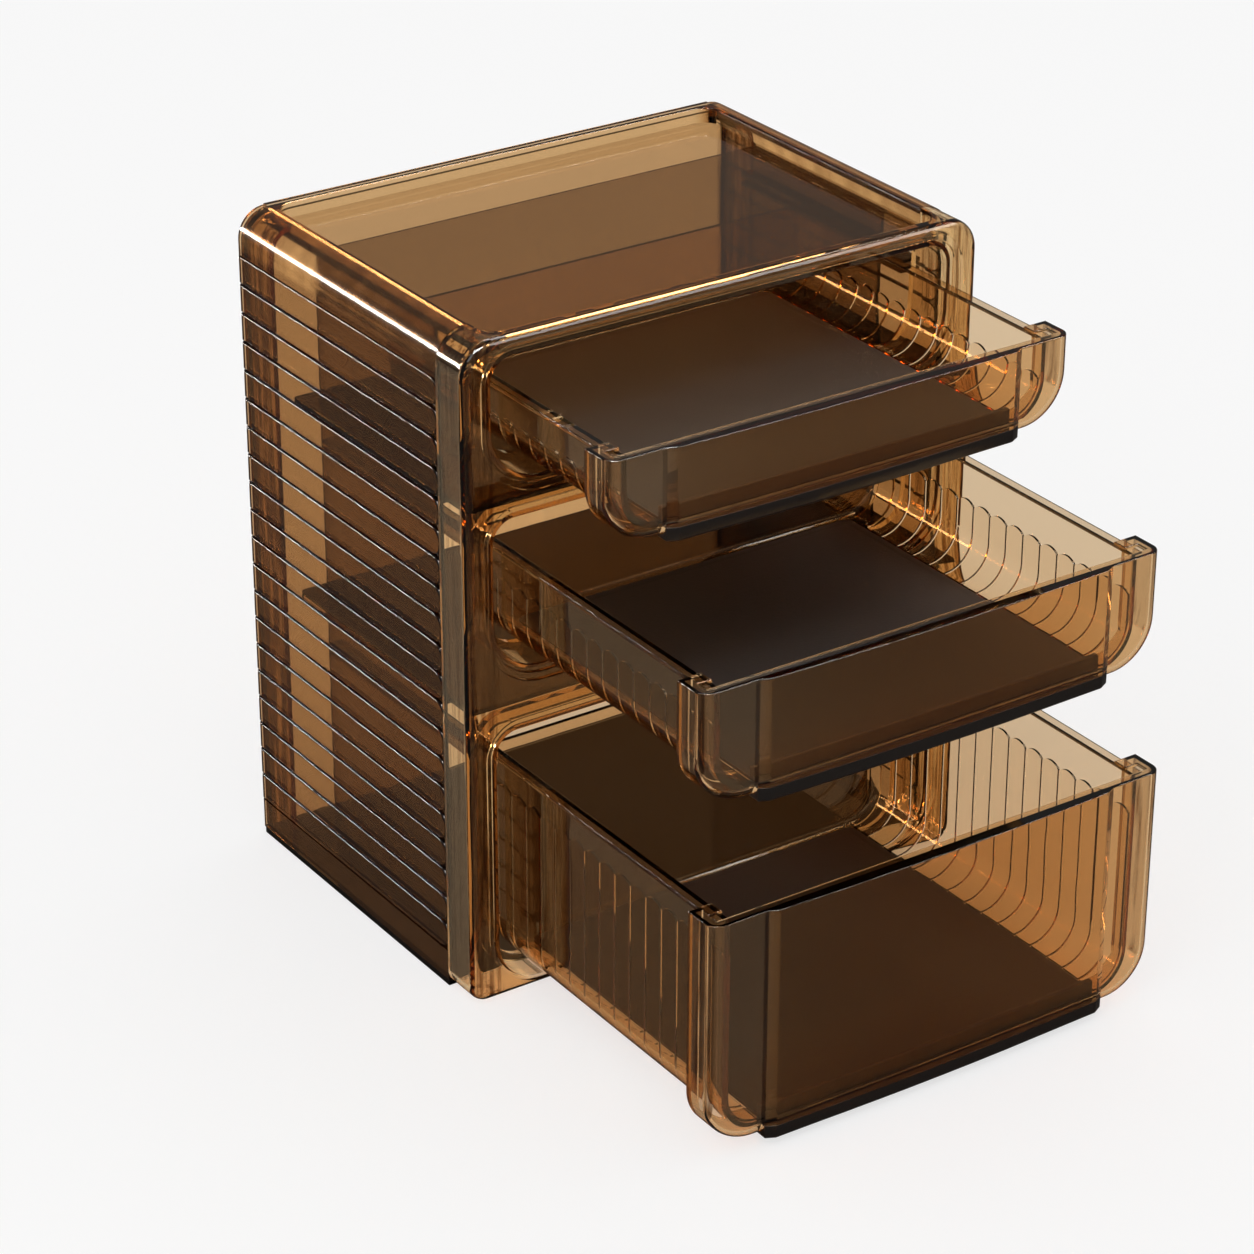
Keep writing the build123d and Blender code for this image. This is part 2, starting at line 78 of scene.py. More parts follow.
def srgb(red: int, green: int, blue: int) -> Colour:
    """A colour as it looks on a screen, as the linear colour that the shaders work with.

    Args:
        red: Red from 0 to 255.
        green: Green from 0 to 255.
        blue: Blue from 0 to 255.

    Returns:
        Linear red, green, blue and full alpha.
    """

    def linear(value: int) -> float:
        """One channel made linear."""
        share = value / 255
        return share / 12.92 if share <= 0.04045 else ((share + 0.055) / 1.055) ** 2.4

    return (linear(red), linear(green), linear(blue), 1.0)


@dataclass
class Graph:
    """Short calls that build a shader's nodes.

    Attributes:
        tree: The node tree that gets them.
    """

    tree: bpy.types.NodeTree

    @classmethod
    def empty(cls, owner: bpy.types.Material | bpy.types.World) -> "Graph":
        """Clears the nodes of a material or world.

        Args:
            owner: The material or world.

        Returns:
            Its empty graph.
        """
        owner.use_nodes = True
        owner.node_tree.nodes.clear()
        return cls(owner.node_tree)

    def feed(self, socket: bpy.types.NodeSocket, value: Value) -> None:
        """Sets an input or links it.

        Args:
            socket: The input.
            value: A plain value, or the socket that feeds the input.
        """
        if isinstance(value, bpy.types.NodeSocket):
            self.tree.links.new(value, socket)
        else:
            socket.default_value = value

    def add(
        self, kind: str, inputs: dict[int | str, Value] | None = None, **settings: object
    ) -> bpy.types.bpy_prop_collection:
        """Adds a node.

        Args:
            kind: Its type, without the leading ShaderNode.
            inputs: What its inputs get, by their names or numbers.
            **settings: Its other settings.

        Returns:
            Its outputs.
        """
        node = self.tree.nodes.new(f"ShaderNode{kind}")
        for name, setting in settings.items():
            setattr(node, name, setting)
        for key, value in (inputs or {}).items():
            self.feed(node.inputs[key], value)
        return node.outputs

    def place(self) -> bpy.types.NodeSocket:
        """The place on the object."""
        return self.add("TexCoord")["Object"]

    def calc(self, operation: str, *values: Value, clamp: bool = False) -> bpy.types.NodeSocket:
        """Adds arithmetic.

        Args:
            operation: What it does.
            *values: What it works on.
            clamp: Whether the result is kept between 0 and 1.

        Returns:
            The result.
        """
        inputs = dict(enumerate(values))
        return self.add("Math", inputs, operation=operation, use_clamp=clamp)["Value"]

    def rise(
        self,
        value: Value,
        start: float,
        end: float,
        low: float = 0.0,
        high: float = 1.0,
        curve: str = "LINEAR",
    ) -> bpy.types.NodeSocket:
        """Turns a range of values into another.

        Args:
            value: What is turned.
            start: The value that gives the lowest result.
            end: The value that gives the highest result.
            low: The lowest result.
            high: The highest result.
            curve: How it runs between them.

        Returns:
            The result.
        """
        inputs = {
            "Value": value, "From Min": start, "From Max": end, "To Min": low, "To Max": high
        }
        return self.add("MapRange", inputs, interpolation_type=curve)["Result"]

    def noise(
        self, scale: float, detail: float, stretch: tuple[float, float, float] = EVEN
    ) -> bpy.types.NodeSocket:
        """Adds noise that sticks to the object.

        Args:
            scale: Spots per metre.
            detail: How many finer layers it has.
            stretch: How much longer the spots are along each axis.

        Returns:
            The noise, about 0.5 in the middle.
        """
        shrink = tuple(1.0 / part for part in stretch)
        run = self.add("Mapping", {"Vector": self.place(), "Scale": shrink})["Vector"]
        return self.add("TexNoise", {"Vector": run, "Scale": scale, "Detail": detail})["Fac"]

    def mix_colours(self, share: Value, under: Value, over: Value) -> bpy.types.NodeSocket:
        """Mixes two colours.

        Args:
            share: How much of the second shows.
            under: The first colour.
            over: The second colour.

        Returns:
            The mixed colour.
        """
        inputs = {"Factor": share, "A": under, "B": over}
        return self.add("Mix", inputs, data_type="RGBA")["Result"]

    def mix_shaders(self, share: Value, under: Value, over: Value) -> bpy.types.NodeSocket:
        """Mixes two shaders.

        Args:
            share: How much of the second shows.
            under: The first shader.
            over: The second shader.

        Returns:
            The mixed shader.
        """
        return self.add("MixShader", {0: share, 1: under, 2: over})["Shader"]

    def bump(self, height: Value, strength: float, distance: float) -> bpy.types.NodeSocket:
        """Turns a height into a normal.

        Args:
            height: The height, from 0 to 1.
            strength: How strong the relief is.
            distance: How high the relief is.

        Returns:
            The normal.
        """
        inputs = {"Height": height, "Strength": strength, "Distance": distance}
        return self.add("Bump", inputs)["Normal"]

    def ramp(self, value: Value, stops: tuple[tuple[float, Colour], ...]) -> bpy.types.NodeSocket:
        """Adds a colour ramp.

        Args:
            value: Where on the ramp the colour is read.
            stops: Two or more positions with their colours, in order.

        Returns:
            The colour.
        """
        outputs = self.add("ValToRGB", {"Fac": value})
        elements = outputs["Color"].node.color_ramp.elements
        for element, (position, colour) in zip(elements, stops[:2]):
            element.position = position
            element.color = colour
        for position, colour in stops[2:]:
            elements.new(position).color = colour
        return outputs["Color"]


@dataclass(frozen=True)
class PaintedShadingStreaks:
    """A zone of a clear piece whose colour runs in streaks: painted shade along dark edges, creases
    and corners, or painted light along bright bands.

    Attributes:
        start: Distance from the middle, sideways, at which the zone starts.
        end: Distance from the middle at which it ends.
        fade: Width over which it comes in and goes out.
        low: Height below which there is none.
        high: Height above which there is none.
        colour: The streaks' colour, dark for painted shade or pale for painted light.
        scale: How many streaks per metre.
        stretch: How much longer the streaks are along each axis.
        least: How much of their colour is left between the streaks, from 0 to 1.
        level: Noise value in the middle of a streak's edge; higher leaves fewer streaks.
        soft_edge: Noise range on each side of that value over which a streak fades.
        height_fade: Height over which the zone comes in and goes out.
        detail: How many finer layers the streaks have.
    """

    start: float
    end: float
    fade: float
    low: float
    high: float
    colour: Colour
    scale: float
    stretch: tuple[float, float, float]
    least: float
    level: float = 0.5
    soft_edge: float = 0.08
    height_fade: float = 0.001
    detail: float = 3.0

    def paint(self, graph: Graph, under: Value) -> bpy.types.NodeSocket:
        """Paints the zone's painted shade or painted light into a colour.

        Args:
            graph: The material's nodes.
            under: The colour outside the zone.

        Returns:
            The colour with the zone in it.
        """
        across = graph.add("SeparateXYZ", {"Vector": graph.place()})
        side = graph.calc("ABSOLUTE", across["X"])
        edges = (
            (side, self.start, self.start + self.fade),
            (side, self.end, self.end - self.fade),
            (across["Z"], self.low, self.low + self.height_fade),
            (across["Z"], self.high, self.high - self.height_fade),
        )
        zone = graph.rise(
            graph.noise(self.scale, self.detail, self.stretch),
            self.level - self.soft_edge,
            self.level + self.soft_edge,
            low=self.least,
        )
        for value, outside, inside in edges:
            edge = graph.rise(value, outside, inside, curve="SMOOTHSTEP")
            zone = graph.calc("MULTIPLY", zone, edge)
        return graph.mix_colours(zone, under, self.colour)


@dataclass(frozen=True)
class ClearPlastic:
    """Glossy see-through moulded plastic.

    Attributes:
        name: The material's name.
        tint: The colour of white light behind one wall of it.
        absorption: The colour that a long path through the plastic keeps.
        density: How fast the plastic takes light away, per metre.
        ripple: Strength of the faint moulding waves in the surface.
        ripple_scale: Waves per metre.
        ripple_stretch: How much longer the waves are along each axis.
        shadow: The colour that light keeps at each surface on its way to what lies in shadow.
        streaks: The zones of painted shade or painted light, in streaks.
        soft: Roughness of the surface above the height where its polish ends.
        soft_from: Height at which the polish starts to end.
        soft_rise: Height over which it ends.
    """

    name: str
    tint: Colour = (0.95, 0.84, 0.68, 1.0)
    absorption: Colour = (0.80, 0.57, 0.23, 1.0)
    density: float = 260.0
    ripple: float = 0.012
    ripple_scale: float = 22.0
    ripple_stretch: tuple[float, float, float] = EVEN
    shadow: Colour = (0.80, 0.68, 0.56, 1.0)
    streaks: tuple[PaintedShadingStreaks, ...] = ()
    soft: float = 0.0
    soft_from: float = 0.0
    soft_rise: float = 0.006

    def build(self) -> bpy.types.Material:
        """The finish as a material."""
        material = bpy.data.materials.new(self.name)
        graph = Graph.empty(material)
        colour = self.tint
        # Painted shade and painted light zones go into the base colour here.
        for zone in self.streaks:
            colour = zone.paint(graph, colour)
        roughness = 0.0
        if self.soft > 0.0:
            height = graph.add("SeparateXYZ", {"Vector": graph.place()})["Z"]
            top = self.soft_from + self.soft_rise
            roughness = graph.rise(height, self.soft_from, top, high=self.soft)
        waves = graph.noise(self.ripple_scale, RIPPLE_DETAIL, self.ripple_stretch)
        surface = {
            "Base Color": colour,
            "Roughness": roughness,
            "IOR": REFRACTIVE_INDEX,
            "Transmission Weight": 1.0,
            "Normal": graph.bump(waves, self.ripple, RIPPLE_HEIGHT),
        }
        body = graph.add("BsdfPrincipled", surface)["BSDF"]
        clear = graph.add("BsdfTransparent", {"Color": self.shadow})["BSDF"]
        shaded = graph.mix_shaders(graph.add("LightPath")["Is Shadow Ray"], body, clear)
        depth = {"Color": self.absorption, "Density": self.density}
        inside = graph.add("VolumeAbsorption", depth)["Volume"]
        graph.add("OutputMaterial", {"Surface": shaded, "Volume": inside})
        return material


@dataclass(frozen=True)
class SolidFinish:
    """An opaque moulded finish with fine grain.

    Attributes:
        name: The material's name.
        colour: Its main colour.
        shade: The colour in the hollows of its grain.
        roughness: Roughness of the surface.
        grain: Grains per metre.
        relief: Strength of the grain's relief.
    """

    name: str
    colour: Colour
    shade: Colour
    roughness: float
    grain: float
    relief: float

    def build(self) -> bpy.types.Material:
        """The finish as a material."""
        material = bpy.data.materials.new(self.name)
        graph = Graph.empty(material)
        grain = graph.noise(self.grain, GRAIN_DETAIL)
        surface = {
            "Base Color": graph.mix_colours(grain, self.shade, self.colour),
            "Roughness": self.roughness,
            "Normal": graph.bump(grain, self.relief, GRAIN_HEIGHT),
        }
        body = graph.add("BsdfPrincipled", surface)["BSDF"]
        graph.add("OutputMaterial", {"Surface": body})
        return material


@dataclass
class Finishes:
    """Every finish of the organizer, made once."""

    amber: bpy.types.Material = field(init=False)
    front_amber: bpy.types.Material = field(init=False)
    frame_amber: bpy.types.Material = field(init=False)
    lit_lid_amber: bpy.types.Material = field(init=False)
    back_amber: bpy.types.Material = field(init=False)
    shaded_side_amber: bpy.types.Material = field(init=False)
    roof_painted_shade: bpy.types.Material = field(init=False)
    guide_painted_shade: bpy.types.Material = field(init=False)
    shelf_and_base_painted_shade: bpy.types.Material = field(init=False)
    grip: bpy.types.Material = field(init=False)
    mat: bpy.types.Material = field(init=False)

    def __post_init__(self) -> None:
        """Makes the materials."""
        self.amber = ClearPlastic("amber_clear", ripple=0.03, ripple_scale=34.0).build()
        # Painted shade: dark streaks along the fronts' side returns stand in for the dark outlines
        # that light gives their corners.
        painted_edge_shade = PaintedShadingStreaks(
            start=0.1290,
            end=0.1330,
            fade=0.0006,
            low=-0.01,
            high=0.36,
            colour=(0.10, 0.05, 0.02, 1.0),
            scale=180.0,
            stretch=(1.0, 1.0, 12.0),
            least=0.4,
        )
        self.front_amber = ClearPlastic(
            "amber_fronts", density=200.0, ripple=0.02, ripple_scale=40.0, streaks=(painted_edge_shade,)
        ).build()
        # Painted shade: dark streaks down the frame's posts stand in for the dark lines that light
        # makes there; the frame's paler tint is painted light.
        painted_post_shade = PaintedShadingStreaks(
            start=0.1310,
            end=0.1475,
            fade=0.0012,
            low=-0.01,
            high=0.36,
            colour=(0.30, 0.17, 0.075, 1.0),
            scale=420.0,
            stretch=(1.0, 1.0, 20.0),
            least=0.0,
            level=0.56,
        )
        self.frame_amber = ClearPlastic(
            "amber_frame",
            tint=(1.0, 0.92, 0.75, 1.0),
            density=150.0,
            ripple=0.04,
            ripple_scale=45.0,
            ripple_stretch=(1.0, 1.0, 2.5),
            streaks=(painted_post_shade,),
        ).build()
        # Painted light: the lid is a paler copy of the amber.
        self.lit_lid_amber = ClearPlastic("amber_lid", tint=(1.0, 0.96, 0.86, 1.0)).build()
        # Painted shade: dark streaks in the back panel's rear corners stand in for the shade there.
        painted_corner_shade = PaintedShadingStreaks(
            start=0.1385,
            end=0.1500,
            fade=0.002,
            low=0.0,
            high=0.36,
            colour=(0.10, 0.05, 0.02, 1.0),
            scale=260.0,
            stretch=(1.0, 1.0, 14.0),
            least=0.25,
        )
        self.back_amber = ClearPlastic("amber_back", streaks=(painted_corner_shade,)).build()
        # Painted shade: near-black streaks in the flutes' grooves.
        painted_groove_shade = PaintedShadingStreaks(
            start=0.1464,
            end=0.14855,
            fade=0.0002,
            low=0.019,
            high=0.327,
            colour=(0.03, 0.015, 0.006, 1.0),
            scale=120.0,
            stretch=(1.0, 6.0, 1.0),
            least=0.7,
        )
        # Painted light: a paler band along the side panels' shoulders.
        painted_shoulder_light = PaintedShadingStreaks(
            start=0.1200,
            end=0.1500,
            fade=0.0006,
            low=0.3300,
            high=0.3520,
            colour=(1.0, 0.92, 0.76, 1.0),
            scale=90.0,
            stretch=(6.0, 1.0, 6.0),
            least=0.35,
        )
        # Painted shade: the side panels are a darker copy of the amber, holding the painted groove
        # shade and painted shoulder light.
        self.shaded_side_amber = ClearPlastic(
            "amber_sides",
            tint=(0.63, 0.53, 0.41, 1.0),
            ripple=0.03,
            ripple_scale=60.0,
            ripple_stretch=(1.0, 2.0, 1.0),
            shadow=(0.70, 0.56, 0.42, 1.0),
            streaks=(painted_groove_shade, painted_shoulder_light),
            soft=0.13,
            soft_from=0.328,
        ).build()
        # Painted shade: a greyer, darker tint on the bay roof.
        self.roof_painted_shade = ClearPlastic(
            "amber_roof_painted_shade", tint=(0.58, 0.55, 0.49, 1.0), shadow=(0.7, 0.6, 0.5, 1.0)
        ).build()
        # Painted shade: a dark tint on the guides.
        self.guide_painted_shade = ClearPlastic(
            "amber_guide_painted_shade", tint=(0.30, 0.24, 0.18, 1.0), shadow=(0.6, 0.5, 0.42, 1.0)
        ).build()
        # Painted shade: a near-black tint on the shelves and base, where the inside of the case
        # lies in shade.
        self.shelf_and_base_painted_shade = ClearPlastic(
            "amber_shelf_and_base_painted_shade", tint=(0.10, 0.07, 0.045, 1.0), shadow=(0.45, 0.37, 0.30, 1.0)
        ).build()
        self.grip = SolidFinish(
            "grip_black",
            colour=srgb(30, 24, 21),
            shade=srgb(20, 15, 12),
            roughness=0.28,
            grain=900.0,
            relief=0.15,
        ).build()
        self.mat = SolidFinish(
            "mat_dark",
            colour=srgb(52, 42, 35),
            shade=srgb(36, 28, 23),
            roughness=0.55,
            grain=1400.0,
            relief=0.4,
        ).build()


def dress(node: bpy.types.Object, material: bpy.types.Material) -> None:
    """Gives a CAD node its finish.

    Args:
        node: The node's object.
        material: Its finish.
    """
    node.data.materials.clear()
    node.data.materials.append(material)


@dataclass
class Case:
    """The case: its panels, shelves, guides and the front frame.

    Attributes:
        finishes: Every finish.
        nodes: The CAD nodes by name.
    """

    finishes: Finishes
    nodes: dict[str, bpy.types.Object]

    def build(self) -> None:
        """Dresses every piece of the case by the end of its name."""
        # The bay roof, guides, shelves and base get painted shade tints; the side panels get a
        # painted shade copy and the lid a painted light copy of the amber.
        looks = {
            "bay_roof": self.finishes.roof_painted_shade,
            "_guide": self.finishes.guide_painted_shade,
            "_shelf": self.finishes.shelf_and_base_painted_shade,
            "base_panel": self.finishes.shelf_and_base_painted_shade,
            "_side_panel": self.finishes.shaded_side_amber,
            "back_panel": self.finishes.back_amber,
            "top_panel": self.finishes.lit_lid_amber,
            "front_frame": self.finishes.frame_amber,
        }
        for name, node in self.nodes.items():
            for ending, finish in looks.items():
                if name.endswith(ending):
                    dress(node, finish)


class Level(Enum):
    """The three drawers, from the top down."""

    TOP = "top"
    MIDDLE = "middle"
    BOTTOM = "bottom"


@dataclass
class Mat:
    """The dark mat on a drawer's floor: a thin pad with a raised border and a kerb along its front.

    Attributes:
        level: The drawer that it lies in.
        finish: Its material.
        pad_height: Thickness of the pad at its border.
        kerb_depth: Thickness of the kerb from front to back.
        corner: Radius of the pad's rear corners.
        border: Width of the raised border.
        hollow: How far the field inside the border lies below it.
        edge: Rounding of the pad's upper edges.
        kerb_edge: Rounding of the kerb's upper edges.
        corner_flats: How many flats make up a rear corner.
        edge_flats: How many make up a rounded edge of the pad.
        kerb_flats: How many make up a rounded edge of the kerb.
    """

    level: Level
    finish: bpy.types.Material
    pad_height: float = 0.0015
    kerb_depth: float = 0.003
    corner: float = 0.005
    border: float = 0.004
    hollow: float = 0.0005
    edge: float = 0.0003
    kerb_edge: float = 0.0011
    corner_flats: int = 8
    edge_flats: int = 2
    kerb_flats: int = 4

    def block(self, form: bmesh.types.BMesh, low: Vector, high: Vector) -> None:
        """A plain block between two corners.

        Args:
            form: The mesh that gets it.
            low: Its lowest corner.
            high: Its highest corner.
        """
        made = bmesh.ops.create_cube(form, size=1.0)
        bmesh.ops.scale(form, vec=high - low, verts=made["verts"])
        bmesh.ops.translate(form, vec=(low + high) / 2, verts=made["verts"])

    def round_off(
        self,
        form: bmesh.types.BMesh,
        edges: list[bmesh.types.BMEdge],
        radius: float,
        segments: int,
    ) -> None:
        """Rounds edges.

        Args:
            form: The mesh that they belong to.
            edges: The edges.
            radius: Their rounding.
            segments: How many flats make it up.
        """
        bmesh.ops.bevel(
            form,
            geom=edges,
            offset=radius,
            affect="EDGES",
            segments=segments,
            profile=0.5,
            material=-1,
        )

    def level_edges(self, form: bmesh.types.BMesh, height: float) -> list[bmesh.types.BMEdge]:
        """The edges that lie at one height.

        Args:
            form: The mesh.
            height: The height.

        Returns:
            The edges.
        """
        return [
            edge
            for edge in form.edges
            if all(abs(vert.co.z - height) < SAME_PLACE for vert in edge.verts)
        ]

    def pad(self, form: bmesh.types.BMesh, low: Vector, high: Vector) -> None:
        """The pad, with round rear corners and a field sunk inside its border.

        Args:
            form: The empty mesh that gets it.
            low: The mat's lowest corner.
            high: The mat's highest corner.
        """
        top_z = low.z + self.pad_height
        self.block(form, low, Vector((high.x, high.y, top_z)))
        upright = [
            edge
            for edge in form.edges
            if all(abs(vert.co.y - high.y) < SAME_PLACE for vert in edge.verts)
            and abs(edge.verts[0].co.z - edge.verts[1].co.z) > SAME_PLACE
        ]
        self.round_off(form, upright, self.corner, self.corner_flats)
        top = max(form.faces, key=lambda face: face.calc_center_median().z)
        bmesh.ops.inset_region(form, faces=[top], thickness=self.border, use_even_offset=True)
        bmesh.ops.translate(form, vec=(0.0, 0.0, -self.hollow), verts=list(top.verts))
        crown = self.level_edges(form, top_z)
        self.round_off(form, list(top.edges) + crown, self.edge, self.edge_flats)

    def kerb(self, form: bmesh.types.BMesh, low: Vector, high: Vector) -> None:
        """The kerb, with round upper edges.

        Args:
            form: The mesh that gets it.
            low: The mat's lowest corner.
            high: The mat's highest corner.
        """
        self.block(form, low, Vector((high.x, low.y + self.kerb_depth, high.z)))
        upper = self.level_edges(form, high.z)
        self.round_off(form, upper, self.kerb_edge, self.kerb_flats)

    def build(self) -> None:
        """Makes the mat as a piece that rides on its drawer."""
        stem = self.level.value
        low, high = (Vector(corner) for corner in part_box(f"{stem}_liner"))
        form = bmesh.new()
        self.pad(form, low, high)
        self.kerb(form, low, high)
        mesh = bpy.data.meshes.new(f"{stem}_mat")
        form.to_mesh(mesh)
        form.free()
        mesh.materials.append(self.finish)
        mesh.shade_smooth()
        mesh.set_sharp_from_angle(angle=SHARP_ANGLE)
        mat = bpy.data.objects.new(f"{stem}_mat", mesh)
        bpy.context.scene.collection.objects.link(mat)
        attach(mat, f"{stem}_drawer")
        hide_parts(f"{stem}_liner")


@dataclass
class Grip:
    """The dark finger bar under a front, with every edge softened.

    Attributes:
        level: The drawer that it belongs to.
        finish: Its material.
        node: The CAD bar that it is made from.
        edge: Rounding of its edges.
        flats: How many flats make it up.
    """

    level: Level
    finish: bpy.types.Material
    node: bpy.types.Object
    edge: float = 0.0005
    flats: int = 3

    def build(self) -> None:
        """Makes the bar as a piece that rides on its drawer."""
        stem = self.level.value
        form = bmesh.new()
        form.from_mesh(self.node.data)
        bmesh.ops.remove_doubles(form, verts=list(form.verts), dist=SAME_PLACE)
        bmesh.ops.dissolve_limit(
            form, angle_limit=FLAT_ANGLE, verts=list(form.verts), edges=list(form.edges)
        )
        mesh = bpy.data.meshes.new(f"{stem}_bar")
        form.to_mesh(mesh)
        form.free()
        mesh.materials.append(self.finish)
        mesh.shade_smooth()
        bar = bpy.data.objects.new(f"{stem}_bar", mesh)
        bpy.context.scene.collection.objects.link(bar)
        soften = bar.modifiers.new("soft_edges", "BEVEL")
        soften.width = self.edge
        soften.segments = self.flats
        soften.limit_method = "ANGLE"
        soften.angle_limit = SHARP_ANGLE
        soften.harden_normals = True
        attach(bar, f"{stem}_drawer")
        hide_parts(f"{stem}_grip")


@dataclass
class Drawer:
    """One drawer: its tray, clear front, dark grip and mat.

    Attributes:
        level: Which drawer it is.
        finishes: Every finish.
        nodes: The CAD nodes by name.
    """

    level: Level
    finishes: Finishes
    nodes: dict[str, bpy.types.Object]

    def build(self) -> None:
        """Dresses the drawer's clear pieces and adds its bar and mat."""
        stem = self.level.value
        dress(self.nodes[f"{stem}_tray"], self.finishes.amber)
        dress(self.nodes[f"{stem}_front"], self.finishes.front_amber)
        Grip(self.level, self.finishes.grip, self.nodes[f"{stem}_grip"]).build()
        Mat(self.level, self.finishes.mat).build()


@dataclass(frozen=True)
class Floor:
    """The wide pale floor, a hair below the base so that the two faces don't meet.

    Attributes:
        radius: Its radius.
        sides: How many sides it has.
        drop: How far below the base it lies.
        pale: Its colour.
        flag: The colour that mirror images of it have, so that gloss stays dark.
        camera_share: How much of it is plain white as the camera sees it.
        through_share: How much of it is plain white as seen through plastic.
        reach: The distance from the middle that the ring's positions are shares of.
        ring: Where plastic shows the flag's colour in its place: the start, the full
            strength, the end of that and the end of the ring.
    """

    radius: float = 9.0
    sides: int = 96
    drop: float = 0.0004
    pale: Colour = (0.97, 0.97, 0.97, 1.0)
    flag: Colour = (0.12, 0.11, 0.10, 1.0)
    camera_share: float = 0.68
    through_share: float = 0.42
    reach: float = 4.0
    ring: tuple[float, float, float, float] = (0.40, 0.46, 0.66, 0.74)

    def finish(self) -> bpy.types.Material:
        """The floor's material."""
        material = bpy.data.materials.new("floor_white")
        graph = Graph.empty(material)
        rays = graph.add("LightPath")
        through = rays["Is Transmission Ray"]
        direct = graph.calc("MULTIPLY", rays["Is Camera Ray"], self.camera_share)
        share = graph.calc("MULTIPLY_ADD", through, self.through_share, direct)
        pale = graph.add("BsdfDiffuse", {"Color": self.pale})["BSDF"]
        white = graph.add("Emission", {"Strength": 1.0})["Emission"]
        flag = graph.add("BsdfDiffuse", {"Color": self.flag})["BSDF"]
        away = graph.add("VectorMath", {0: graph.place()}, operation="LENGTH")["Value"]
        reach = graph.calc("DIVIDE", away, self.reach)
        ring = graph.ramp(reach, tuple(zip(self.ring, (BLACK, WHITE, WHITE, BLACK))))
        mirrored = graph.calc("SUBTRACT", rays["Is Glossy Ray"], through, clamp=True)
        dark = graph.calc("MAXIMUM", mirrored, graph.calc("MULTIPLY", ring, through))
        seen = graph.mix_shaders(share, pale, white)
        graph.add("OutputMaterial", {"Surface": graph.mix_shaders(dark, seen, flag)})
        return material

    def build(self) -> None:
        """Makes the floor."""
        mesh = bpy.data.meshes.new("floor")
        form = bmesh.new()
        bmesh.ops.create_circle(
            form, cap_ends=True, radius=self.radius, segments=self.sides
        )
        bmesh.ops.translate(form, vec=(0.0, 0.0, -self.drop), verts=list(form.verts))
        form.to_mesh(mesh)
        form.free()
        mesh.materials.append(self.finish())
        ground = bpy.data.objects.new("floor", mesh)
        bpy.context.scene.collection.objects.link(ground)


@dataclass(frozen=True)
class Surround:
    """The light all round: white to the camera, darker in gloss and high up through plastic.

    Attributes:
        soft: What lights plain surfaces.
        gloss: What mirror images show.
        through: What plastic shows at two heights, from 0 at the horizon to 1 overhead.
    """

    soft: Colour = (0.8, 0.8, 0.8, 1.0)
    gloss: Colour = (0.16, 0.15, 0.14, 1.0)
    through: tuple[tuple[float, Colour], ...] = ((0.10, WHITE), (0.34, (0.15, 0.14, 0.13, 1.0)))

    def build(self) -> None:
        """Makes the world."""
        world = bpy.data.worlds.new("surround")
        bpy.context.scene.world = world
        graph = Graph.empty(world)

        def light(colour: Value) -> bpy.types.NodeSocket:
            """Plain light of one colour."""
            return graph.add("Background", {"Color": colour, "Strength": 1.0})["Background"]

        way = graph.add("TexCoord")["Generated"]
        height = graph.add("SeparateXYZ", {"Vector": way})["Z"]
        rays = graph.add("LightPath")
        plain = graph.mix_shaders(rays["Is Glossy Ray"], light(self.soft), light(self.gloss))
        dim = light(graph.ramp(height, self.through))
        first = graph.mix_shaders(rays["Is Transmission Ray"], plain, dim)
        shown = graph.mix_shaders(rays["Is Camera Ray"], first, light(WHITE))
        graph.add("OutputWorld", {"Surface": shown})


@dataclass(frozen=True)
class Lamp:
    """A soft box that faces the organizer.

    Attributes:
        name: The lamp's name.
        place: Where it hangs.
        width: Its width.
        height: Its height.
        watts: Its power.
        shine_only: Whether it shows in gloss and through plastic but lights nothing.
        aim: What it faces.
    """

    name: str
    place: tuple[float, float, float]
    width: float
    height: float
    watts: float
    shine_only: bool = True
    aim: tuple[float, float, float] = (0.0, -0.05, 0.16)

    def build(self) -> None:
        """Hangs the lamp."""
        light = bpy.data.lights.new(self.name, "AREA")
        light.shape = "RECTANGLE"
        light.size = self.width
        light.size_y = self.height
        light.energy = self.watts
        lamp = bpy.data.objects.new(self.name, light)
        bpy.context.scene.collection.objects.link(lamp)
        lamp.visible_diffuse = not self.shine_only
        lamp.location = self.place
        ahead = Vector(self.aim) - Vector(self.place)
        lamp.rotation_euler = ahead.to_track_quat("-Z", "Y").to_euler()


LAMPS = (
    Lamp("key", (-1.3, -0.9, 1.6), 0.9, 0.9, 5.0, shine_only=False),
    Lamp("rear_left_box", (-1.4, 1.5, 0.44), 1.1, 0.22, 22.0),
    Lamp("front_right_box", (0.85, -0.75, 1.3), 1.2, 0.5, 11.0),
    Lamp("front_left_box", (-0.45, -0.75, 1.55), 0.8, 0.4, 30.0),
    Lamp("overhead_box", (0.6, 0.35, 1.7), 1.2, 0.35, 9.0),
)


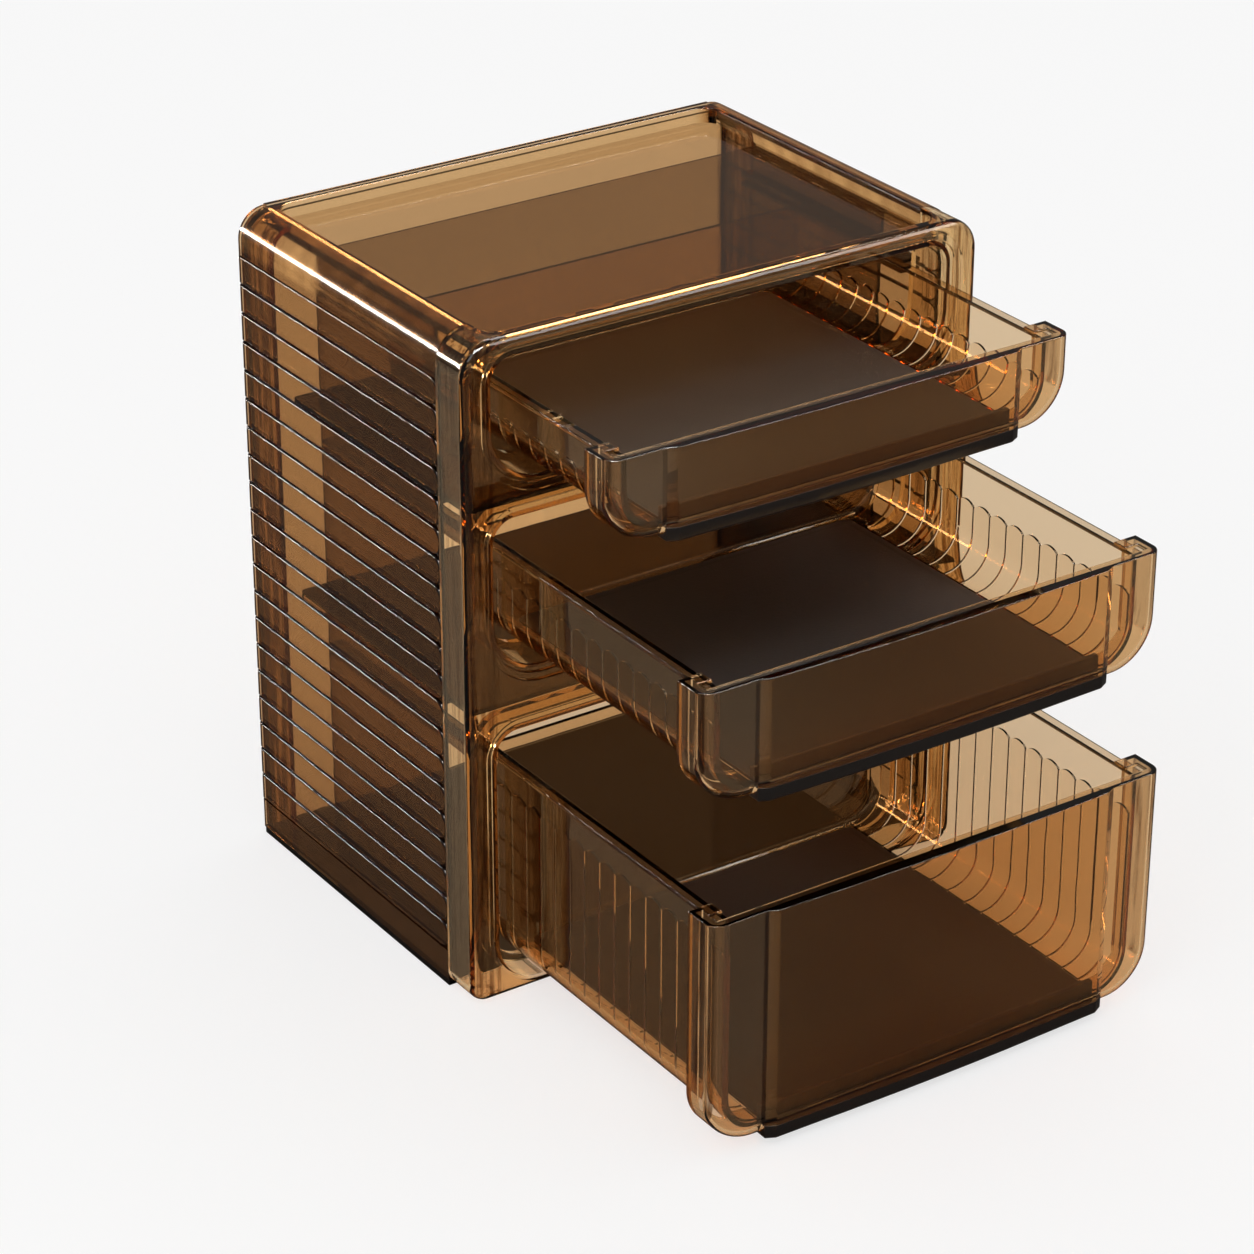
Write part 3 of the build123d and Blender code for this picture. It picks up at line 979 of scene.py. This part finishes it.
@dataclass(frozen=True)
class Viewpoint:
    """The camera at the photograph's angle.

    Attributes:
        azimuth: Angle from the front towards the left, in degrees.
        elevation: Angle above the horizon, in degrees.
        distance: Distance from the target.
        target: The point that it turns round.
        focal_pixels: Focal length in pixels of the photograph.
        frame_pixels: Width and height of the photograph in pixels.
        centre: The pixel that the lens's axis meets.
        sensor: Width of the sensor in millimetres.
        far: The farthest distance that shows.
    """

    azimuth: float = 33.97
    elevation: float = 26.86
    distance: float = 2.05985
    target: tuple[float, float, float] = (0.0059, 0.0, 0.12608)
    focal_pixels: float = 4000.0
    frame_pixels: float = 1254.0
    centre: tuple[float, float] = (616.96, 618.06)
    sensor: float = 36.0
    far: float = 50.0

    def build(self) -> None:
        """Sets up the camera."""
        turn = math.radians(self.azimuth)
        tilt = math.radians(self.elevation)
        away = Vector(
            (-math.sin(turn) * math.cos(tilt), -math.cos(turn) * math.cos(tilt), math.sin(tilt))
        )
        lens = bpy.data.cameras.new("camera")
        lens.sensor_width = self.sensor
        lens.lens = self.focal_pixels / self.frame_pixels * self.sensor
        lens.shift_x = 0.5 - self.centre[0] / self.frame_pixels
        lens.shift_y = self.centre[1] / self.frame_pixels - 0.5
        lens.clip_end = self.far
        camera = bpy.data.objects.new("camera", lens)
        bpy.context.scene.collection.objects.link(camera)
        camera.location = Vector(self.target) + away * self.distance
        camera.rotation_euler = (-away).to_track_quat("-Z", "Y").to_euler()
        bpy.context.scene.camera = camera


def set_up_studio() -> None:
    """Sets up the floor, the light and the camera, with enough bounces for nested clear walls."""
    scene = bpy.context.scene
    scene.view_settings.view_transform = "Standard"
    scene.cycles.max_bounces = CLEAR_BOUNCES
    scene.cycles.transmission_bounces = CLEAR_BOUNCES
    scene.cycles.glossy_bounces = GLOSS_BOUNCES
    scene.cycles.transparent_max_bounces = SHADOW_WALLS
    Floor().build()
    Surround().build()
    for lamp in LAMPS:
        lamp.build()
    Viewpoint().build()


def main() -> None:
    """Dresses the organizer piece by piece and sets up the studio."""
    logging.basicConfig(level=logging.INFO, format="%(name)s: %(message)s")
    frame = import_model()
    finishes = Finishes()
    Case(finishes, frame["nodes"]).build()
    LOG.info("case dressed")
    for level in Level:
        Drawer(level, finishes, frame["nodes"]).build()
        LOG.info("%s drawer dressed", level.value)
    set_up_studio()


if __name__ == "__main__":
    main()
